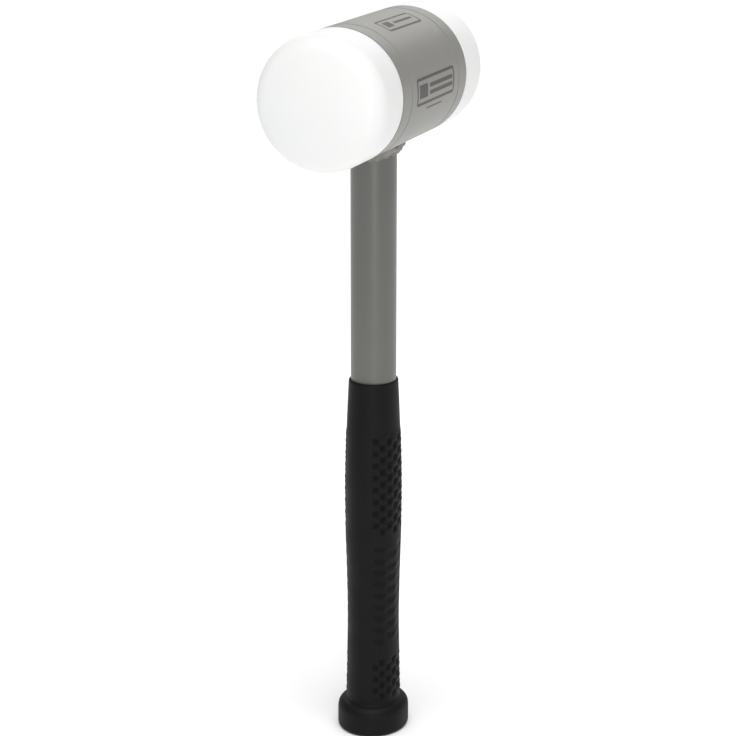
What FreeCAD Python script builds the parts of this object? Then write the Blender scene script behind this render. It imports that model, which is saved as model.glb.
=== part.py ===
import FreeCAD, Part
import math
import os

# Recoil-free soft-face mallet, in millimetres.
# +Z runs up the handle, X is the axis of the head, and the origin is the centre of the grip's flat butt.
# The head is a steel tube with a nylon face screwed into each end.
# Loose steel shot lies between two bulkheads inside it.

# Head housing: a painted steel tube across the top of the handle
head_z = 314.5              # height of the head's axis above the butt
head_r = 30.0
housing_half = 40.3
housing_wall = 3.0
housing_edge = 0.7          # rolled edge at each end of the tube
groove_inset = 10.3         # rolled groove that locks each bulkhead, from the end of the tube
groove_half = 0.8
groove_depth = 0.35
bore_r = head_r - housing_wall

# Steel bulkheads: each closes the shot chamber and has a tapped boss for a face's stud
bulkhead_thick = 3.0
bulkhead_floor = 2.0        # steel left under the blind hole
boss_r = 14.5
boss_high = 39.0            # outer end of the boss, from the middle of the head
chamber_half = housing_half - groove_inset - bulkhead_thick / 2

# Screw thread between bulkhead and stud: right-handed, coarse
thread_pitch = 2.5
thread_root_r = 8.6         # root of the stud's thread
thread_crest_r = 10.0
thread_crest_half = 0.25    # half the width of the crest
thread_flank = 0.5          # how much wider the ridge grows, each side, per unit of depth
thread_gap = 0.22           # clearance between stud and boss
thread_bite = 0.05          # how far the ridge is sunk into the core that it stands on

# Studs moulded into the faces
stud_tip = 31.2             # distance of the stud's inner end from the middle of the head
stud_shoulder = 39.8        # where the thread ends and the nylon begins
stud_root = 52.0
stud_core_r = 9.0
stud_rib_r = 9.8            # ribs that lock the stud in the nylon
stud_rib_half = 1.0
stud_ribs = (43.5, 48.0)

# Nylon faces
seal_thick = 0.6            # rubber ring between the face and the end of the tube
seal_inner_r = 27.3
seal_outer_r = 29.5
face_base = housing_half + seal_thick
face_side_end = 58.4        # end of the straight side, from the middle of the head
shoulder_r = 9.0            # rounding from the straight side to the crown
crown_rise = 3.0            # the striking surface is slightly domed
seat_chamfer = 0.5
shank_low = 33.0            # inner end of the shank that centres the face in the tube
shank_gap = 0.3
shank_lead = 1.2            # chamfer that starts the shank into the tube
pocket_r = 15.0             # pocket in the shank for the boss

# Loose steel shot
shot_r = 4.0
shot_gap = 0.12             # air between neighbouring balls
shot_wall_gap = 0.35        # air between the balls and the chamber
shot_level = 6.0            # how far above the head's axis the charge is heaped
shot_columns = 5            # balls along the head's axis

# Handle tube and its plugs
tube_r = 10.65
tube_wall = 2.0
tube_low = 9.0              # lower end of the tube, inside the grip
tube_high = head_z - bore_r
top_plug_len = 12.0
top_plug_inset = 0.2
end_plug_len = 10.0
end_plug_flange = 1.5

# Weld round the tube where it enters the head
weld_leg = 3.8              # from the seam, down the tube and out along the housing
weld_reach = 20.0           # length of tube below the head's underside that the weld is built on

# Rubber grip: an oval sleeve with a flared butt
oval = 1.10                 # depth along X over width across Y
grip_high = 176.3
grip_rim = 0.9              # rounding of the rim at the top
butt_half = 16.9            # half the width of the butt across Y
butt_edge = 1.8
butt_side_high = 9.6        # top of the butt's straight side
butt_bulge_high = 12.65     # middle of the rounded shoulder
butt_bulge_half = 15.85
butt_shoulder_high = 14.2
butt_shoulder_half = 13.3
sleeve_low = 15.2           # where the sleeve rises out of the shoulder
# half the sleeve's width across Y, as (height above the butt, half width)
sleeve_stations = [
    (sleeve_low, 12.75),
    (34.0, 12.30),
    (57.0, 11.95),
    (78.0, 12.25),
    (100.0, 12.85),
    (124.0, 13.10),
    (148.0, 12.60),
    (166.0, 11.90),
    (grip_high - grip_rim, 11.45),
]

tolerance = 0.01            # for picking edges by their place
origin = FreeCAD.Vector(0, 0, 0)
along_x = FreeCAD.Vector(1, 0, 0)
along_y = FreeCAD.Vector(0, 1, 0)
along_z = FreeCAD.Vector(0, 0, 1)


def point(r, z):
    """Point of an outline that is turned about Z."""
    return FreeCAD.Vector(r, 0, z)


def line(start, end):
    """Straight edge."""
    return Part.makeLine(start, end)


def arc(start, middle, end):
    """Edge through three points."""
    return Part.Arc(start, middle, end).toShape()


def path(points):
    """Straight edges from point to point."""
    return [line(start, end) for start, end in zip(points, points[1:])]


def turned(edges):
    """Solid of revolution about Z from a closed outline."""
    return Part.Face(Part.Wire(edges)).revolve(origin, along_z, 360)


def rod(radius, low, high):
    """Cylinder on Z."""
    return Part.makeCylinder(radius, high - low, FreeCAD.Vector(0, 0, low), along_z)


def on_head(shape, side=1):
    """Lay a shape that was made about Z along the head, pointing to +X (side 1) or -X (side -1)."""
    laid = shape.copy()
    laid.rotate(origin, along_y, 90)
    if side < 0:
        laid.rotate(origin, along_z, 180)
    laid.translate(FreeCAD.Vector(0, 0, head_z))
    return laid


def head_housing():
    """Steel tube of the head, with a rolled groove near each end and the hole for the handle."""
    end = housing_half
    turn = housing_edge * (1 - math.sqrt(0.5))
    groove = end - groove_inset
    edges = []
    for side in (-1, 1):
        lip = point(head_r - housing_edge, side * end)
        lip_top = point(head_r, side * (end - housing_edge))
        groove_out = point(head_r, side * (groove + groove_half))
        groove_in = point(head_r, side * (groove - groove_half))
        edges += [
            line(point(bore_r, side * end), lip),
            arc(lip, point(head_r - turn, side * (end - turn)), lip_top),
            line(lip_top, groove_out),
            arc(groove_out, point(head_r - groove_depth, side * groove), groove_in),
            line(groove_in, point(head_r, 0)),
        ]
    edges.append(line(point(bore_r, end), point(bore_r, -end)))
    tube = on_head(turned(Part.__sortEdges__(edges)).removeSplitter())
    return tube.cut(rod(tube_r, head_z - 2 * head_r, head_z))


def thread_ridge(gap):
    """Helical ridge of the screw thread, grown by gap on every side, along the stud's threaded length."""
    base = stud_tip - thread_pitch
    inner_r = thread_root_r - thread_bite
    crest_r = thread_crest_r + gap
    widen = gap * math.sqrt(1 + thread_flank ** 2)
    crest_half = thread_crest_half - thread_flank * gap + widen
    root_half = crest_half + thread_flank * (crest_r - inner_r)
    corners = [
        point(inner_r, base - root_half),
        point(crest_r, base - crest_half),
        point(crest_r, base + crest_half),
        point(inner_r, base + root_half),
    ]
    helix = Part.makeLongHelix(thread_pitch, stud_shoulder - base + thread_pitch, thread_root_r, 0, False)
    helix.translate(FreeCAD.Vector(0, 0, base))
    return Part.Wire(helix.Edges).makePipeShell([Part.makePolygon(corners + corners[:1])], True, True)


def bulkhead(side):
    """Steel disc locked in the housing by the rolled groove, with a blind tapped boss facing outwards."""
    low = chamber_half
    floor = low + bulkhead_floor
    tapping = thread_ridge(thread_gap).common(rod(boss_r, floor, boss_high))
    boss = rod(boss_r, floor, boss_high).cut(rod(thread_root_r + thread_gap, floor, boss_high)).cut(tapping)
    rim = rod(bore_r, floor, low + bulkhead_thick).cut(rod(boss_r, floor, low + bulkhead_thick))
    return on_head(rod(bore_r, low, floor).fuse(rim).fuse(boss), side)


def stud(side):
    """Steel stud moulded into a face: a screw thread inwards and a ribbed root in the nylon."""
    outline = [point(0, stud_shoulder), point(stud_core_r, stud_shoulder)]
    for rib in stud_ribs:
        outline += [
            point(stud_core_r, rib - stud_rib_half),
            point(stud_rib_r, rib - stud_rib_half),
            point(stud_rib_r, rib + stud_rib_half),
            point(stud_core_r, rib + stud_rib_half),
        ]
    outline += [point(stud_core_r, stud_root), point(0, stud_root), point(0, stud_shoulder)]
    root = turned(path(outline))
    ridge = thread_ridge(0).common(rod(boss_r, stud_tip, stud_shoulder))
    screw = rod(thread_root_r, stud_tip, stud_shoulder).fuse(ridge)
    return on_head(screw.fuse(root).removeSplitter(), side)


def seal_ring(side):
    """Thin rubber ring between a face and the end of the housing."""
    ring = rod(seal_outer_r, housing_half, face_base).cut(rod(seal_inner_r, housing_half, face_base))
    return on_head(ring, side)


def face(side):
    """Nylon face: crown, shoulder, straight side, and a shank with a pocket for the boss and stud."""
    shoulder_centre = head_r - shoulder_r
    tilt = 2 * math.atan2(crown_rise, shoulder_centre)      # slope where the crown meets the shoulder
    crown_radius = shoulder_r + shoulder_centre / math.sin(tilt)
    tip = face_side_end + shoulder_r + crown_rise
    shank_r = bore_r - shank_gap

    def on_shoulder(angle):
        r = shoulder_centre + shoulder_r * math.sin(angle)
        return point(r, face_side_end + shoulder_r * math.cos(angle))

    def on_crown(angle):
        return point(crown_radius * math.sin(angle), tip - crown_radius * (1 - math.cos(angle)))

    outline = [
        point(0, stud_shoulder),
        point(pocket_r, stud_shoulder),
        point(pocket_r, shank_low),
        point(shank_r - shank_lead, shank_low),
        point(shank_r, shank_low + shank_lead),
        point(shank_r, face_base),
        point(head_r - seat_chamfer, face_base),
        point(head_r, face_base + seat_chamfer),
        point(head_r, face_side_end),
    ]
    edges = path(outline) + [
        arc(outline[-1], on_shoulder((math.pi / 2 + tilt) / 2), on_shoulder(tilt)),
        arc(on_crown(tilt), on_crown(tilt / 2), on_crown(0)),
        line(on_crown(0), outline[0]),
    ]
    return on_head(turned(edges), side).cut(stud(side))


def shot_charge():
    """Loose steel balls heaped in the lower part of the chamber, as separate solids."""
    pitch = 2 * shot_r + shot_gap
    row_rise = pitch * math.sqrt(0.75)
    reach = bore_r - shot_r - shot_wall_gap
    balls = []
    row = 0
    while -reach + row * row_rise <= shot_level:
        z = -reach + row * row_rise
        half_width = math.sqrt(reach ** 2 - z ** 2)
        shift = pitch / 2 * (row % 2)
        first = math.ceil((-half_width - shift) / pitch)
        last = math.floor((half_width - shift) / pitch)
        for place in range(first, last + 1):
            y = shift + place * pitch
            for column in range(shot_columns):
                x = (column - (shot_columns - 1) / 2) * pitch
                balls.append(Part.makeSphere(shot_r, FreeCAD.Vector(x, y, head_z + z)))
        row += 1
    return Part.makeCompound(balls)


def handle_tube():
    """Straight steel tube from the grip up into the wall of the housing."""
    return rod(tube_r, tube_low, tube_high).cut(rod(tube_r - tube_wall, tube_low, tube_high))


def tube_top_plug():
    """Plug that keeps the shot out of the handle."""
    high = tube_high - top_plug_inset
    return rod(tube_r - tube_wall, high - top_plug_len, high)


def tube_end_plug():
    """Flanged plug in the lower end of the tube, so that the tube can't cut through the rubber."""
    flange = rod(tube_r, tube_low - end_plug_flange, tube_low)
    body = rod(tube_r - tube_wall, tube_low, tube_low + end_plug_len)
    return flange.fuse(body).removeSplitter()


def handle_weld():
    """Fillet weld that follows the seam between the tube and the underside of the housing."""
    drum = Part.makeCylinder(head_r, 2 * housing_half, FreeCAD.Vector(-housing_half, 0, head_z), along_x)
    post = rod(tube_r, head_z - head_r - weld_reach, head_z)
    joined = drum.fuse(post)
    lowest = head_z - head_r - tolerance
    seam = [
        edge for edge in joined.Edges
        if abs(edge.BoundBox.XMax - tube_r) < tolerance and edge.BoundBox.ZMin > lowest
    ]
    return joined.makeChamfer(weld_leg, seam).cut(drum).cut(post)


def rubber_grip():
    """Oval sleeve that swells in the hand, with a flared butt and a blind bore for the tube."""
    overrun = 1.0                                           # past both ends, which are then cut flat
    sunk = -overrun
    raised = grip_high + overrun
    bend = butt_edge * (1 - math.sqrt(0.5))
    sleeve = Part.BSplineCurve()
    sleeve.interpolate([point(half, z) for z, half in sleeve_stations])
    rim_half = sleeve_stations[-1][1]
    rim_low = point(rim_half, grip_high - grip_rim)
    rim_bend = grip_rim * (1 - math.sqrt(0.5))
    edges = [
        line(point(0, sunk), point(butt_half - butt_edge, sunk)),
        line(point(butt_half - butt_edge, sunk), point(butt_half - butt_edge, 0)),
        arc(
            point(butt_half - butt_edge, 0),
            point(butt_half - bend, bend),
            point(butt_half, butt_edge),
        ),
        line(point(butt_half, butt_edge), point(butt_half, butt_side_high)),
        arc(
            point(butt_half, butt_side_high),
            point(butt_bulge_half, butt_bulge_high),
            point(butt_shoulder_half, butt_shoulder_high),
        ),
        line(point(butt_shoulder_half, butt_shoulder_high), sleeve.StartPoint),
        sleeve.toShape(),
        arc(
            rim_low,
            point(rim_half - rim_bend, grip_high - rim_bend),
            point(rim_half - grip_rim, grip_high),
        ),
        *path([point(rim_half - grip_rim, grip_high), point(rim_half - grip_rim, raised), point(0, raised)]),
        line(point(0, raised), point(0, sunk)),
    ]
    round_grip = turned(edges)
    stretch = FreeCAD.Matrix()
    stretch.scale(oval, 1, 1)
    body = round_grip.transformGeometry(stretch)
    wide = 4 * butt_half
    below = Part.makeBox(wide, wide, wide, FreeCAD.Vector(-wide / 2, -wide / 2, -wide))
    above = Part.makeBox(wide, wide, wide, FreeCAD.Vector(-wide / 2, -wide / 2, grip_high))
    bore = rod(tube_r, tube_low - end_plug_flange, raised)
    return body.cut(below).cut(above).cut(bore)


def main():
    """Make every sub-part and write one STEP file for each."""
    os.makedirs("parts", exist_ok=True)
    parts = {
        "head_housing": head_housing(),
        "left_face": face(-1),
        "right_face": face(1),
        "left_stud": stud(-1),
        "right_stud": stud(1),
        "left_seal_ring": seal_ring(-1),
        "right_seal_ring": seal_ring(1),
        "left_bulkhead": bulkhead(-1),
        "right_bulkhead": bulkhead(1),
        "shot_charge": shot_charge(),
        "handle_weld": handle_weld(),
        "handle_tube": handle_tube(),
        "tube_top_plug": tube_top_plug(),
        "tube_end_plug": tube_end_plug(),
        "rubber_grip": rubber_grip(),
    }
    for node, shape in parts.items():
        shape.exportStep("parts/" + node + ".step")
        volume = round(shape.Volume / 1000, 2)
        print(node, len(shape.Solids), "solids, valid", shape.isValid(), volume, "cm3")
    charge_half = (shot_columns - 1) / 2 * (2 * shot_r + shot_gap) + shot_r
    print("the shot slides", round(chamber_half - charge_half - shot_wall_gap, 2), "mm each way")


main()
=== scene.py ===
import math

import bpy
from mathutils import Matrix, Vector


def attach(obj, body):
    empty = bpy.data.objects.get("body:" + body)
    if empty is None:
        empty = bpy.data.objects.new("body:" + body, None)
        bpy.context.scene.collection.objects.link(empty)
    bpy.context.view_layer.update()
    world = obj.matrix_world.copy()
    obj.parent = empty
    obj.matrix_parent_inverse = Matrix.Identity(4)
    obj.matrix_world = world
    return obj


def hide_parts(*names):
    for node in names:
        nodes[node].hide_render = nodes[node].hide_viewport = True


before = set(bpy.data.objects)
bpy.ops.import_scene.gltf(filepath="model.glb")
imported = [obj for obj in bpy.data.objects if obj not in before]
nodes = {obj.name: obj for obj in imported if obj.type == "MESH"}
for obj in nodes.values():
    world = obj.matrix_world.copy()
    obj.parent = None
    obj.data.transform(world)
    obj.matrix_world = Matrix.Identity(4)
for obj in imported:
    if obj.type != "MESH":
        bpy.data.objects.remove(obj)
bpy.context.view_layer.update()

mm = 0.001


def hexToLinear(hexText):
    channels = [int(hexText[i:i + 2], 16) / 255 for i in (0, 2, 4)]
    linear = [c / 12.92 if c <= 0.04045 else ((c + 0.055) / 1.055) ** 2.4 for c in channels]
    return (*linear, 1.0)


def addNode(tree, kind, inputs=None, **settings):
    # inputs: socket name or number -> a value, or (node, output) to link from
    node = tree.nodes.new(kind)
    for key, value in settings.items():
        setattr(node, key, value)
    for key, value in (inputs or {}).items():
        if isinstance(value, tuple) and isinstance(value[0], bpy.types.Node):
            tree.links.new(value[0].outputs[value[1]], node.inputs[key])
        else:
            node.inputs[key].default_value = value
    return node


def emptyMaterial(name):
    material = bpy.data.materials.new(name)
    material.use_nodes = True
    material.node_tree.nodes.clear()
    return material, material.node_tree


def powderCoat(name, coat):
    # Polyester powder baked on steel: a satin skin with slight orange peel and the odd pale speck
    material, tree = emptyMaterial(name)
    place = addNode(tree, "ShaderNodeTexCoord")
    drift = addNode(tree, "ShaderNodeTexNoise", {
        "Vector": (place, "Object"), "Scale": 1 / (coat["driftSize"] * mm), "Detail": 3.0, "Roughness": 0.55})
    coatColour = addNode(tree, "ShaderNodeMix", {
        0: (drift, "Fac"), 6: hexToLinear(coat["colourDark"]), 7: hexToLinear(coat["colourLight"])},
        data_type="RGBA")
    cells = addNode(tree, "ShaderNodeTexVoronoi", {
        "Vector": (place, "Object"), "Scale": 1 / (coat["speckSpacing"] * mm)})
    speck = addNode(tree, "ShaderNodeMapRange", {
        "Value": (cells, "Distance"), "From Min": coat["speckSize"] / coat["speckSpacing"],
        "From Max": 0.6 * coat["speckSize"] / coat["speckSpacing"], "To Min": 0.0, "To Max": 0.55})
    colour = addNode(tree, "ShaderNodeMix", {
        0: (speck, "Result"), 6: (coatColour, 2), 7: hexToLinear(coat["colourSpeck"])}, data_type="RGBA")
    peel = addNode(tree, "ShaderNodeTexNoise", {
        "Vector": (place, "Object"), "Scale": 1 / (coat["peelSize"] * mm), "Detail": 2.0, "Roughness": 0.5})
    bump = addNode(tree, "ShaderNodeBump", {
        "Height": (peel, "Fac"), "Strength": coat["peelStrength"], "Distance": coat["peelHeight"] * mm})
    gloss = addNode(tree, "ShaderNodeMapRange", {
        "Value": (drift, "Fac"), "To Min": coat["roughness"] - 0.04, "To Max": coat["roughness"] + 0.04})
    shader = addNode(tree, "ShaderNodeBsdfPrincipled", {
        "Base Color": (colour, 2), "Roughness": (gloss, "Result"), "Normal": (bump, "Normal"), "IOR": 1.5})
    addNode(tree, "ShaderNodeOutputMaterial", {"Surface": (shader, "BSDF")})
    return material


headCoat = {
    "colourDark": "7d7c78", "colourLight": "85847f", "colourSpeck": "c9c8c4",
    "driftSize": 22.0, "speckSpacing": 16.0, "speckSize": 0.55,
    "peelSize": 1.3, "peelHeight": 0.03, "peelStrength": 0.35, "roughness": 0.42,
}
tubeCoat = {
    "colourDark": "5b5b57", "colourLight": "636360", "colourSpeck": "a5a49f",
    "driftSize": 18.0, "speckSpacing": 21.0, "speckSize": 0.4,
    "peelSize": 1.1, "peelHeight": 0.025, "peelStrength": 0.35, "roughness": 0.36,
}
weldCoat = dict(tubeCoat, colourDark="6a6964", colourLight="82817b", driftSize=2.5, roughness=0.46)


def castNylon(nylon):
    # Cast polyamide: milky white, semi-matt, light goes a little way in, faint scuffs from handling
    material, tree = emptyMaterial("castNylon")
    place = addNode(tree, "ShaderNodeTexCoord")
    cloud = addNode(tree, "ShaderNodeTexNoise", {
        "Vector": (place, "Object"), "Scale": 1 / (nylon["cloudSize"] * mm), "Detail": 2.0})
    colour = addNode(tree, "ShaderNodeMix", {
        0: (cloud, "Fac"), 6: hexToLinear(nylon["colourCool"]), 7: hexToLinear(nylon["colourWarm"])},
        data_type="RGBA")
    scuffs = addNode(tree, "ShaderNodeTexNoise", {
        "Vector": (place, "Object"), "Scale": 1 / (nylon["scuffSize"] * mm),
        "Detail": 6.0, "Roughness": 0.65})
    gloss = addNode(tree, "ShaderNodeMapRange", {
        "Value": (scuffs, "Fac"), "From Min": 0.3, "From Max": 0.7,
        "To Min": nylon["roughness"] - 0.06, "To Max": nylon["roughness"] + 0.08})
    bump = addNode(tree, "ShaderNodeBump", {
        "Height": (scuffs, "Fac"), "Strength": 0.12, "Distance": nylon["scuffHeight"] * mm})
    shader = addNode(tree, "ShaderNodeBsdfPrincipled", {
        "Base Color": (colour, 2), "Roughness": (gloss, "Result"), "Normal": (bump, "Normal"), "IOR": 1.53,
        "Subsurface Weight": nylon["lightShare"], "Subsurface Scale": nylon["lightDepth"] * mm,
        "Subsurface Radius": (1.0, 0.95, 0.85)})    # red light goes in a little farther than blue
    addNode(tree, "ShaderNodeOutputMaterial", {"Surface": (shader, "BSDF")})
    return material


nylonFinish = {
    "colourCool": "e4e6e7", "colourWarm": "e6e5e2", "cloudSize": 40.0,
    "scuffSize": 3.0, "scuffHeight": 0.02, "roughness": 0.45,
    "lightShare": 0.6, "lightDepth": 4.0,
}


def mouldedRubber(name, rubber):
    # Moulded synthetic rubber: near black and matt, from the fine spark-eroded grain of its mould
    material, tree = emptyMaterial(name)
    place = addNode(tree, "ShaderNodeTexCoord")
    handling = addNode(tree, "ShaderNodeTexNoise", {
        "Vector": (place, "Object"), "Scale": 1 / (rubber["handledSize"] * mm),
        "Detail": 4.0, "Roughness": 0.6})
    skin = addNode(tree, "ShaderNodeMix", {
        0: (handling, "Fac"), 6: hexToLinear(rubber["colourDark"]), 7: hexToLinear(rubber["colourLight"])},
        data_type="RGBA")
    sunk = addNode(tree, "ShaderNodeAttribute", attribute_name="sunkCell")   # painted shade: up to 1 at the floor of a sunk cell, where occlusion would darken it
    # painted shade: towards the floors of the sunk cells the colour goes darker and the specular level lower,
    # standing in for occlusion; the rubber there is no darker
    colour = addNode(tree, "ShaderNodeMix", {
        0: (sunk, "Fac"), 6: (skin, 2), 7: hexToLinear(rubber["colourPaintedShade"])}, data_type="RGBA")
    sheen = addNode(tree, "ShaderNodeMapRange", {
        "Value": (sunk, "Fac"), "To Min": rubber["gloss"], "To Max": rubber["glossPaintedShade"]})
    grain = addNode(tree, "ShaderNodeTexNoise", {  # the real grain is about 0.1 mm, coarser here so it shows
        "Vector": (place, "Object"), "Scale": 1 / (rubber["grainSize"] * mm),
        "Detail": 3.0, "Roughness": 0.6})
    bump = addNode(tree, "ShaderNodeBump", {
        "Height": (grain, "Fac"), "Strength": 0.5, "Distance": rubber["grainHeight"] * mm})
    gloss = addNode(tree, "ShaderNodeMapRange", {
        "Value": (handling, "Fac"), "From Min": 0.3, "From Max": 0.7,
        "To Min": rubber["roughness"] - 0.07, "To Max": rubber["roughness"] + 0.07})
    shader = addNode(tree, "ShaderNodeBsdfPrincipled", {
        "Base Color": (colour, 2), "Roughness": (gloss, "Result"), "Normal": (bump, "Normal"), "IOR": 1.52,
        "Specular IOR Level": (sheen, "Result")})
    addNode(tree, "ShaderNodeOutputMaterial", {"Surface": (shader, "BSDF")})
    return material


# the sunk-cell colour and gloss below are painted shade for the floors of the grip's sunk cells
gripFinish = {
    "colourDark": "0b0b0b", "colourLight": "10100f", "colourPaintedShade": "060606", "handledSize": 14.0,
    "grainSize": 0.7, "grainHeight": 0.05, "roughness": 0.56, "gloss": 0.13, "glossPaintedShade": 0.06,
}
sealFinish = dict(gripFinish, colourDark="242423", colourLight="2a2a29", handledSize=6.0, roughness=0.6)


def brightSteel(steel):
    # Turned low-carbon steel: grey metal with fine tool rings round the head's axis
    material, tree = emptyMaterial("brightSteel")
    place = addNode(tree, "ShaderNodeTexCoord")
    stretched = addNode(tree, "ShaderNodeMapping", {
        "Vector": (place, "Object"), "Scale": (1 / (steel["ringPitch"] * mm), 8.0, 8.0)})
    rings = addNode(tree, "ShaderNodeTexNoise", {
        "Vector": (stretched, "Vector"), "Scale": 1.0, "Detail": 2.0})
    gloss = addNode(tree, "ShaderNodeMapRange", {
        "Value": (rings, "Fac"), "To Min": steel["roughness"] - 0.1, "To Max": steel["roughness"] + 0.1})
    colour = addNode(tree, "ShaderNodeMix", {
        0: (rings, "Fac"), 6: hexToLinear(steel["colourDark"]), 7: hexToLinear(steel["colourLight"])},
        data_type="RGBA")
    shader = addNode(tree, "ShaderNodeBsdfPrincipled", {
        "Base Color": (colour, 2), "Metallic": 1.0, "Roughness": (gloss, "Result")})
    addNode(tree, "ShaderNodeOutputMaterial", {"Surface": (shader, "BSDF")})
    return material


steelFinish = {"colourDark": "a5a6a8", "colourLight": "b9babc", "ringPitch": 0.4, "roughness": 0.32}


def printInk(ink):
    # Screen-printed ink: a thin, dull, slightly patchy grey on the powder coat
    material, tree = emptyMaterial("printInk")
    place = addNode(tree, "ShaderNodeTexCoord")
    patch = addNode(tree, "ShaderNodeTexNoise", {
        "Vector": (place, "Object"), "Scale": 1 / (ink["patchSize"] * mm), "Detail": 3.0})
    colour = addNode(tree, "ShaderNodeMix", {
        0: (patch, "Fac"), 6: hexToLinear(ink["colourDark"]), 7: hexToLinear(ink["colourLight"])},
        data_type="RGBA")
    shader = addNode(tree, "ShaderNodeBsdfPrincipled", {
        "Base Color": (colour, 2), "Roughness": ink["roughness"], "IOR": 1.5})
    addNode(tree, "ShaderNodeOutputMaterial", {"Surface": (shader, "BSDF")})
    return material


inkFinish = {"colourDark": "42413e", "colourLight": "504f4b", "patchSize": 3.0, "roughness": 0.55}

headPaint = powderCoat("powderCoatHead", headCoat)
tubePaint = powderCoat("powderCoatTube", tubeCoat)
weldPaint = powderCoat("powderCoatWeld", weldCoat)
nylonWhite = castNylon(nylonFinish)
gripBlack = mouldedRubber("mouldedRubber", gripFinish)
sealBlack = mouldedRubber("sealRubber", sealFinish)
steelBright = brightSteel(steelFinish)
plugBlack = mouldedRubber("mouldedPolyethylene", dict(gripFinish, handledSize=8.0, roughness=0.45))
markInk = printInk(inkFinish)

nodeFinish = {
    "head_housing": headPaint, "left_face": nylonWhite, "right_face": nylonWhite,
    "left_stud": steelBright, "right_stud": steelBright,
    "left_seal_ring": sealBlack, "right_seal_ring": sealBlack,
    "left_bulkhead": steelBright, "right_bulkhead": steelBright, "shot_charge": steelBright,
    "handle_tube": tubePaint,
    "tube_top_plug": plugBlack, "tube_end_plug": plugBlack,
}
for nodeName, material in nodeFinish.items():
    for slot in nodes[nodeName].material_slots:
        slot.material = material
print("materials on", len(nodeFinish), "nodes")


def nothingSelected():
    if bpy.context.object and bpy.context.object.mode != "OBJECT":
        bpy.ops.object.mode_set(mode="OBJECT")
    bpy.ops.object.select_all(action="DESELECT")


def selectWhere(piece, wanted):
    # leaves the piece in edit mode with the wanted vertices picked
    bpy.ops.object.mode_set(mode="EDIT")
    bpy.ops.mesh.select_mode(type="VERT")
    bpy.ops.mesh.select_all(action="DESELECT")
    bpy.ops.object.mode_set(mode="OBJECT")
    for vertex in piece.data.vertices:
        vertex.select = wanted(vertex)
    bpy.ops.object.mode_set(mode="EDIT")


def startOutline(name, first):
    # a plane merged to one vertex is the start of an outline in the XZ plane
    nothingSelected()
    bpy.ops.mesh.primitive_plane_add(size=mm, location=(0, 0, 0))
    piece = bpy.context.object
    piece.name = name
    bpy.ops.object.mode_set(mode="EDIT")
    bpy.ops.mesh.merge(type="CENTER")
    bpy.ops.transform.translate(value=(first[0] * mm, 0, first[1] * mm))
    return piece


def drawOutline(points):
    # points are (radius, height) in mm, each extruded from the one before
    for (r0, z0), (r1, z1) in zip(points, points[1:]):
        bpy.ops.mesh.extrude_region_move(
            TRANSFORM_OT_translate={"value": ((r1 - r0) * mm, 0, (z1 - z0) * mm)})


def spinOutline(steps):
    bpy.ops.mesh.select_all(action="SELECT")
    bpy.ops.mesh.spin(steps=steps, angle=math.tau, center=(0, 0, 0), axis=(0, 0, 1))
    bpy.ops.mesh.select_all(action="SELECT")
    bpy.ops.mesh.remove_doubles(threshold=0.01 * mm)
    bpy.ops.mesh.normals_make_consistent(inside=False)


def roundCorner(centre, radius, fromDegrees, toDegrees, steps):
    angles = [math.radians(fromDegrees + (toDegrees - fromDegrees) * i / steps) for i in range(steps + 1)]
    return [(centre[0] + radius * math.cos(a), centre[1] + radius * math.sin(a)) for a in angles]


def finishPiece(piece, material, body):
    bpy.ops.object.mode_set(mode="OBJECT")
    piece.data.materials.clear()
    piece.data.materials.append(material)
    bpy.ops.object.select_all(action="DESELECT")
    piece.select_set(True)
    bpy.context.view_layer.objects.active = piece
    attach(piece, body)


# the rubber grip: an oval sleeve with a flared butt, a bore for the tube and two patterned panels
grip = {
    "oval": 1.10,                 # depth along X over width across Y
    "buttHalf": 16.9, "buttEdge": 1.8, "buttSideHigh": 9.6, "buttHole": 7.0,    # the hole is closed later
    "shoulder": [(16.75, 10.9), (16.35, 12.0), (15.7, 12.85), (14.8, 13.6), (13.9, 14.05), (13.3, 14.2)],
    "neck": [(12.95, 14.35), (12.8, 14.75)],
    "sleeve": [(15.2, 12.75), (34.0, 12.30), (57.0, 11.95), (78.0, 12.25), (100.0, 12.85),
               (124.0, 13.10), (148.0, 12.60), (166.0, 11.90), (175.4, 11.45)],
    "rim": 0.75, "top": 176.3, "boreHalf": 10.65, "boreLow": 7.5, "boreLead": 1.0, "boreRows": 6,
    "skinInside": 11.2,           # every vertex of the outer skin is farther from the axis than this
    "segments": 120, "columnWide": 5,     # segments round the grip, and segments to a column of pips
    "pitch": 5.95,                # height of one raised and one sunk cell of a column
    "panelColumns": 7,
    "panelStart": 69.0,           # degrees from -Y towards -X where the first column of a panel starts
    # bands of pips from the butt up: first row, number of rows, pattern
    "bands": [(3, 21, "checker"), (30, 54, "leaf"), (89, 48, "checker")],
    "panelHigh": 0.25,            # the patterned panels stand a little proud of the smooth strips
    "pipHigh": 0.12,
    "sunk": {"checker": (0.75, 0.6), "leaf": (0.5, 0.3)},    # depth, and how far the floor is darkened with painted shade
    "leafHalf": 1.9, "leafLean": 0.5,                        # half height and lean of a leaf, in rows
}


def smoothBetween(stations, height):
    # Catmull-Rom curve through (height, half width) pairs
    last = len(stations) - 1
    i = max(k for k in range(last) if stations[k][0] <= height + 1e-9)
    (h0, w0), (h1, w1) = stations[i], stations[i + 1]
    before, after = stations[max(i - 1, 0)], stations[min(i + 2, last)]
    slope0 = (w1 - before[1]) / (h1 - before[0])
    slope1 = (after[1] - w0) / (after[0] - h0)
    t = (height - h0) / (h1 - h0)
    span = h1 - h0
    return ((2 * t**3 - 3 * t**2 + 1) * w0 + (t**3 - 2 * t**2 + t) * span * slope0
            + (3 * t**2 - 2 * t**3) * w1 + (t**3 - t**2) * span * slope1)


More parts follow.
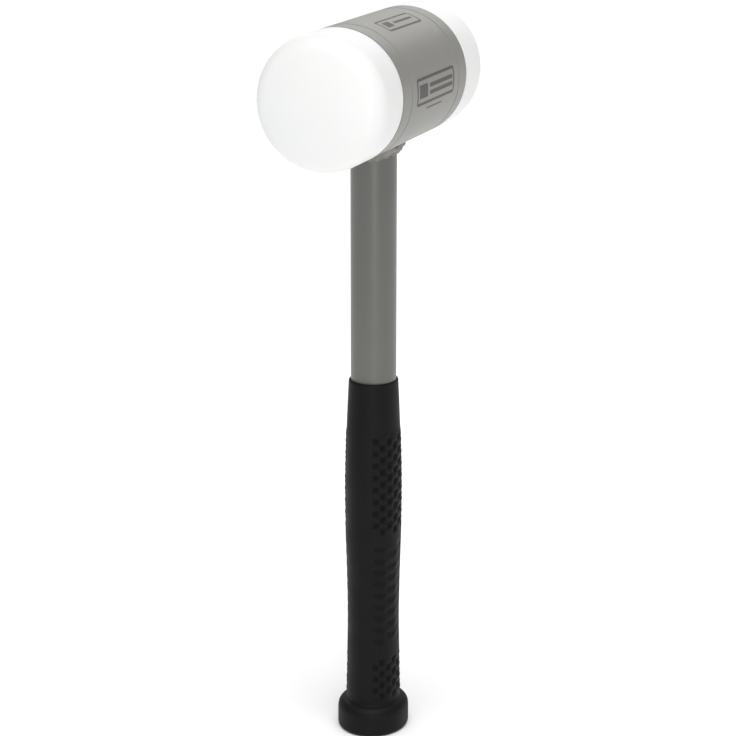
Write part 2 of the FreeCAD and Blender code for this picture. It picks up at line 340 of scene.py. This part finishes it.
def makeGrip():
    rowStep = grip["pitch"] / 6
    sleeveLow, sleeveHigh = grip["sleeve"][0][0], grip["sleeve"][-1][0]
    rows = int((sleeveHigh - sleeveLow) / rowStep)
    edge, half = grip["buttEdge"], grip["buttHalf"]
    outline = [(grip["buttHole"], 0.0), (half - edge - 0.6, 0.0)]
    outline += roundCorner((half - edge, edge), edge, -90, 0, 4)
    outline += [(half, edge + 0.5), (half, (edge + grip["buttSideHigh"]) / 2), (half, grip["buttSideHigh"])]
    outline += grip["shoulder"] + grip["neck"]
    outline += [(smoothBetween(grip["sleeve"], sleeveLow + i * rowStep), sleeveLow + i * rowStep)
                for i in range(rows + 1)]
    rimHalf = grip["sleeve"][-1][1]
    outline += [(rimHalf, sleeveHigh)]
    outline += roundCorner((rimHalf - grip["rim"], grip["top"] - grip["rim"]), grip["rim"], 0, 90, 3)
    boreTop, boreRows = grip["top"] - grip["boreLead"], grip["boreRows"]
    outline += [(grip["boreHalf"], grip["top"] - 0.05)]
    outline += [(grip["boreHalf"], boreTop + (grip["boreLow"] - boreTop) * i / boreRows)
                for i in range(boreRows + 1)]

    piece = startOutline("rubberGrip", outline[0])
    drawOutline(outline)
    spinOutline(grip["segments"])

    # close the flat butt and the floor of the bore
    for height, reach in ((0.0, grip["buttHole"] + 0.1), (grip["boreLow"], grip["boreHalf"] + 0.15)):
        selectWhere(piece, lambda v: abs(v.co.z - height * mm) < 0.02 * mm
                    and math.hypot(v.co.x, v.co.y) < reach * mm)
        bpy.ops.mesh.edge_face_add()

    # turn the mesh so that a column of vertices lies on the first panel's edge
    start = math.radians(-90 - grip["panelStart"])
    bpy.ops.mesh.select_all(action="SELECT")
    bpy.ops.transform.rotate(value=-start, orient_axis="Z", center_override=(0, 0, 0))

    # the body is oval, and the bore stays round
    bpy.ops.transform.resize(value=(grip["oval"], 1, 1), center_override=(0, 0, 0))
    boreReach = (grip["boreHalf"] + 0.02) * mm
    selectWhere(piece, lambda v: math.hypot(v.co.x / grip["oval"], v.co.y) < boreReach
                and v.co.z > (grip["boreLow"] - 0.1) * mm)
    bpy.ops.transform.resize(value=(1 / grip["oval"], 1, 1), center_override=(0, 0, 0))

    # pips: the vertices inside a cell of the pattern are lifted, and those of the cells between are sunk
    wide, skinInside = grip["columnWide"], grip["skinInside"] * mm

    def cellOf(v):
        angle = math.atan2(v.co.y, v.co.x / grip["oval"]) - start
        segment = round(angle / math.tau * grip["segments"]) % grip["segments"]
        row = round((v.co.z / mm - sleeveLow) / rowStep)
        return segment % (grip["segments"] // 2), row

    def insideOf(v, band, lifted):
        across, row = cellOf(v)
        firstRow, rowCount, pattern = band
        up = row - firstRow
        if math.hypot(v.co.x, v.co.y) < skinInside or not 0 <= up < rowCount:
            return False
        if not 0 < across < wide * grip["panelColumns"]:
            return False
        if pattern == "checker":
            column, side = divmod(across, wide)
            middleRow = up % 3 == 1
            return side != 0 and (middleRow or not lifted) and (column + up // 3) % 2 == (0 if lifted else 1)
        pair, place = divmod(across, 2 * wide)          # a leaf lies across two columns and leans
        fromFirst = up + 3 * (pair % 2)
        centre = fromFirst // 6 * 6 + 3 - 3 * (pair % 2)
        if lifted or not 3 <= centre <= rowCount - 3:
            return False
        offset = up - centre + grip["leafLean"] * (place / wide - 1)
        return abs(offset) < grip["leafHalf"] * math.sin(math.pi * place / (2 * wide))

    panelRows = (grip["bands"][0][0], grip["bands"][-1][0] + grip["bands"][-1][1])

    def onPanel(v):
        across, row = cellOf(v)
        return (math.hypot(v.co.x, v.co.y) > skinInside and panelRows[0] <= row <= panelRows[1]
                and 0 < across < wide * grip["panelColumns"])

    selectWhere(piece, onPanel)
    bpy.ops.transform.shrink_fatten(value=grip["panelHigh"] * mm)
    # the floors of the sunk cells also get painted shade, kept per vertex as an attribute for the rubber's
    # material
    paintedShadeByVertex = {}
    for band in grip["bands"]:
        deep, shade = grip["sunk"][band[2]]
        for lifted, move in ((True, grip["pipHigh"]), (False, -deep)):
            selectWhere(piece, lambda v: insideOf(v, band, lifted))
            bpy.ops.transform.shrink_fatten(value=move * mm)
        bpy.ops.object.mode_set(mode="OBJECT")
        paintedShadeByVertex.update((v.index, shade) for v in piece.data.vertices if v.select)
    sunk = piece.data.attributes.new("sunkCell", "FLOAT", "POINT")
    for index, shade in paintedShadeByVertex.items():
        sunk.data[index].value = shade

    finishPiece(piece, gripBlack, "mallet")
    bpy.ops.object.shade_smooth()
    softened = piece.modifiers.new("softEdges", "SUBSURF")
    softened.levels = softened.render_levels = 1
    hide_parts("rubber_grip")
    return piece


rubberGrip = makeGrip()
print("rubber grip:", len(rubberGrip.data.vertices), "vertices")


# the weld between the handle tube and the head
weld = {"grid": 0.45, "swell": 0.2, "lumpSize": 2.2, "lumpHigh": 2.0}


def makeWeld():
    # the even ring is copied, swollen and made lumpy like a hand-laid bead under paint
    nothingSelected()
    nodes["handle_weld"].select_set(True)
    bpy.context.view_layer.objects.active = nodes["handle_weld"]
    bpy.ops.object.duplicate(linked=False)
    piece = bpy.context.object
    piece.name = "weldBead"
    bpy.ops.object.mode_set(mode="EDIT")
    bpy.ops.mesh.select_all(action="SELECT")
    bpy.ops.mesh.remove_doubles(threshold=0.005 * mm)
    bpy.ops.object.mode_set(mode="OBJECT")

    swell = piece.modifiers.new("swell", "DISPLACE")
    swell.strength, swell.mid_level = weld["swell"] * mm, 0.0
    grid = piece.modifiers.new("grid", "REMESH")
    grid.mode, grid.voxel_size = "VOXEL", weld["grid"] * mm
    lumpShape = bpy.data.textures.new("weldLumps", "CLOUDS")
    lumpShape.noise_scale, lumpShape.noise_depth = weld["lumpSize"] * mm, 1
    lumps = piece.modifiers.new("lumps", "DISPLACE")
    lumps.texture, lumps.texture_coords = lumpShape, "LOCAL"
    lumps.strength, lumps.mid_level = weld["lumpHigh"] * mm, 0.5
    even = piece.modifiers.new("even", "SMOOTH")
    even.factor, even.iterations = 0.5, 3
    for name in ("swell", "grid", "lumps", "even"):
        bpy.ops.object.modifier_apply(modifier=name)
    finishPiece(piece, weldPaint, "mallet")
    bpy.ops.object.shade_smooth()
    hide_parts("handle_weld")
    return piece


weldBead = makeWeld()
print("weld bead:", len(weldBead.data.polygons), "faces")


# printed frames on the head, with plain bars and no lettering
headHalf, headHigh = 30.0, 314.5
sidePrint = {
    "name": "sidePrintFrame", "centre": (-0.3, 0.5), "size": (47.0, 12.2), "corner": 1.8, "line": 1.3,
    # bars as (x, up, width, height) from the frame's centre
    "bars": [(-15.5, 0.0, 10.0, 6.0), (6.5, 1.6, 29.0, 1.8), (6.5, -1.6, 29.0, 1.8), (0.0, -8.4, 19.0, 0.7)],
    "onTop": False,
}
topPrint = {
    "name": "topPrintFrame", "centre": (1.5, -11.0), "size": (39.0, 8.4), "corner": 1.4, "line": 1.0,
    "bars": [(-12.0, 0.0, 7.0, 3.8), (5.0, 0.0, 21.0, 1.4)],
    "onTop": True,
}
inkLayer = {"cut": 0.8, "stand": 0.02, "thick": 0.02, "startOff": 5.0, "reach": 40.0}


def makePrint(mark):
    nothingSelected()
    width, height = mark["size"]
    bpy.ops.mesh.primitive_plane_add(size=1, location=(0, 0, 0))
    piece = bpy.context.object
    piece.name = mark["name"]
    bpy.ops.object.mode_set(mode="EDIT")
    bpy.ops.mesh.select_all(action="SELECT")
    bpy.ops.transform.resize(value=(width * mm, height * mm, 1), center_override=(0, 0, 0))
    bpy.ops.mesh.bevel(affect="VERTICES", offset=mark["corner"] * mm, segments=5)
    bpy.ops.mesh.inset(thickness=mark["line"] * mm, depth=0)
    bpy.ops.mesh.delete(type="FACE")
    for x, up, barWidth, barHeight in mark["bars"]:
        bpy.ops.mesh.select_all(action="DESELECT")
        bpy.ops.mesh.primitive_plane_add(size=1, location=(0, 0, 0))
        bpy.ops.transform.resize(value=(barWidth * mm, barHeight * mm, 1), center_override=(0, 0, 0))
        bpy.ops.transform.translate(value=(x * mm, up * mm, 0))

    # cuts across the print let it bend round the head
    cutCount = int(2 * height / inkLayer["cut"])
    for i in range(-cutCount, cutCount + 1):
        bpy.ops.mesh.select_all(action="SELECT")
        bpy.ops.mesh.bisect(plane_co=(0, (i + 0.37) * inkLayer["cut"] * mm, 0), plane_no=(0, 1, 0))
    bpy.ops.mesh.select_all(action="SELECT")
    x, up = mark["centre"]
    startOff = headHalf + inkLayer["startOff"]
    if mark["onTop"]:
        bpy.ops.transform.translate(value=(x * mm, up * mm, (headHigh + startOff) * mm))
    else:
        bpy.ops.transform.rotate(value=-math.pi / 2, orient_axis="X", center_override=(0, 0, 0))
        bpy.ops.transform.translate(value=(x * mm, -startOff * mm, (headHigh + up) * mm))
    bpy.ops.object.mode_set(mode="OBJECT")

    wrap = piece.modifiers.new("wrap", "SHRINKWRAP")
    wrap.target, wrap.wrap_method = nodes["head_housing"], "PROJECT"
    wrap.use_project_y, wrap.use_project_z = not mark["onTop"], mark["onTop"]
    wrap.use_positive_direction = wrap.use_negative_direction = True
    wrap.offset = inkLayer["stand"] * mm
    wrap.project_limit = inkLayer["reach"] * mm
    skin = piece.modifiers.new("skin", "SOLIDIFY")
    skin.thickness, skin.offset = inkLayer["thick"] * mm, 1
    for name in ("wrap", "skin"):
        bpy.ops.object.modifier_apply(modifier=name)
    finishPiece(piece, markInk, "mallet")
    print("print:", piece.name, len(piece.data.vertices), "vertices")
    return piece


for mark in (sidePrint, topPrint):
    makePrint(mark)


# floor, light and camera
studio = {
    "floorSize": 40.0, "floorColour": "fbfbfb", "air": "ffffff", "airStrength": 0.4,
    "sun": {"azimuth": -65, "elevation": 72, "distance": 2.0, "angle": 50, "strength": 2.25},
    "middle": (0.0, 0.0, 0.2),    # the softboxes stand round this point
    # name, azimuth, elevation, distance, width, height, power in watts
    "softboxes": [("frontSoftbox", -64, 8, 1.7, 0.3, 0.9, 6.5),
                  ("backSoftbox", 112, 30, 2.0, 2.2, 0.9, 9.0)],
}
cameraPlace = {
    "azimuth": -68.12, "elevation": 16.75, "distance": 0.9778,
    "lookAt": (-0.00453, 0.00096, 0.1822), "lens": 102.93, "sensor": 36.0,
}


def directionOf(azimuth, elevation):
    a, e = math.radians(azimuth), math.radians(elevation)
    return Vector((math.sin(a) * math.cos(e), -math.cos(a) * math.cos(e), math.sin(e)))


nothingSelected()
bpy.ops.mesh.primitive_plane_add(size=studio["floorSize"], location=(0, 0, 0))
floor = bpy.context.object
floor.name = "studioFloor"
floorMaterial, tree = emptyMaterial("paleFloor")
shader = addNode(tree, "ShaderNodeBsdfPrincipled", {
    "Base Color": hexToLinear(studio["floorColour"]), "Roughness": 0.9})
addNode(tree, "ShaderNodeOutputMaterial", {"Surface": (shader, "BSDF")})
floor.data.materials.append(floorMaterial)

world = bpy.data.worlds.new("studioAir")
bpy.context.scene.world = world
world.use_nodes = True
world.node_tree.nodes.clear()
air = addNode(world.node_tree, "ShaderNodeBackground", {
    "Color": hexToLinear(studio["air"]), "Strength": studio["airStrength"]})
addNode(world.node_tree, "ShaderNodeOutputWorld", {"Surface": (air, "Background")})

middle = Vector(studio["middle"])
for name, azimuth, elevation, distance, width, height, power in studio["softboxes"]:
    bpy.ops.object.light_add(type="AREA", location=middle + directionOf(azimuth, elevation) * distance)
    softbox = bpy.context.object
    softbox.name = name
    softbox.rotation_euler = directionOf(azimuth, elevation).to_track_quat("Z", "Y").to_euler()
    softbox.data.shape = "RECTANGLE"
    softbox.data.size, softbox.data.size_y = width, height
    softbox.data.energy = power

sunPlace = studio["sun"]
towardsSun = directionOf(sunPlace["azimuth"], sunPlace["elevation"])
bpy.ops.object.light_add(type="SUN", location=middle + towardsSun * sunPlace["distance"])
sun = bpy.context.object
sun.name = "broadOverheadLight"
sun.rotation_euler = towardsSun.to_track_quat("Z", "Y").to_euler()
sun.data.angle = math.radians(sunPlace["angle"])
sun.data.energy = sunPlace["strength"]

lookAt = Vector(cameraPlace["lookAt"])
back = directionOf(cameraPlace["azimuth"], cameraPlace["elevation"])
bpy.ops.object.camera_add(location=lookAt + back * cameraPlace["distance"])
camera = bpy.context.object
camera.name = "studioCamera"
camera.rotation_euler = back.to_track_quat("Z", "Y").to_euler()
camera.data.lens = cameraPlace["lens"]
camera.data.sensor_width = cameraPlace["sensor"]
camera.data.dof.use_dof = False
bpy.context.scene.camera = camera
bpy.context.scene.view_settings.view_transform = "Standard"
print("floor, softboxes and camera placed")

nothingSelected()
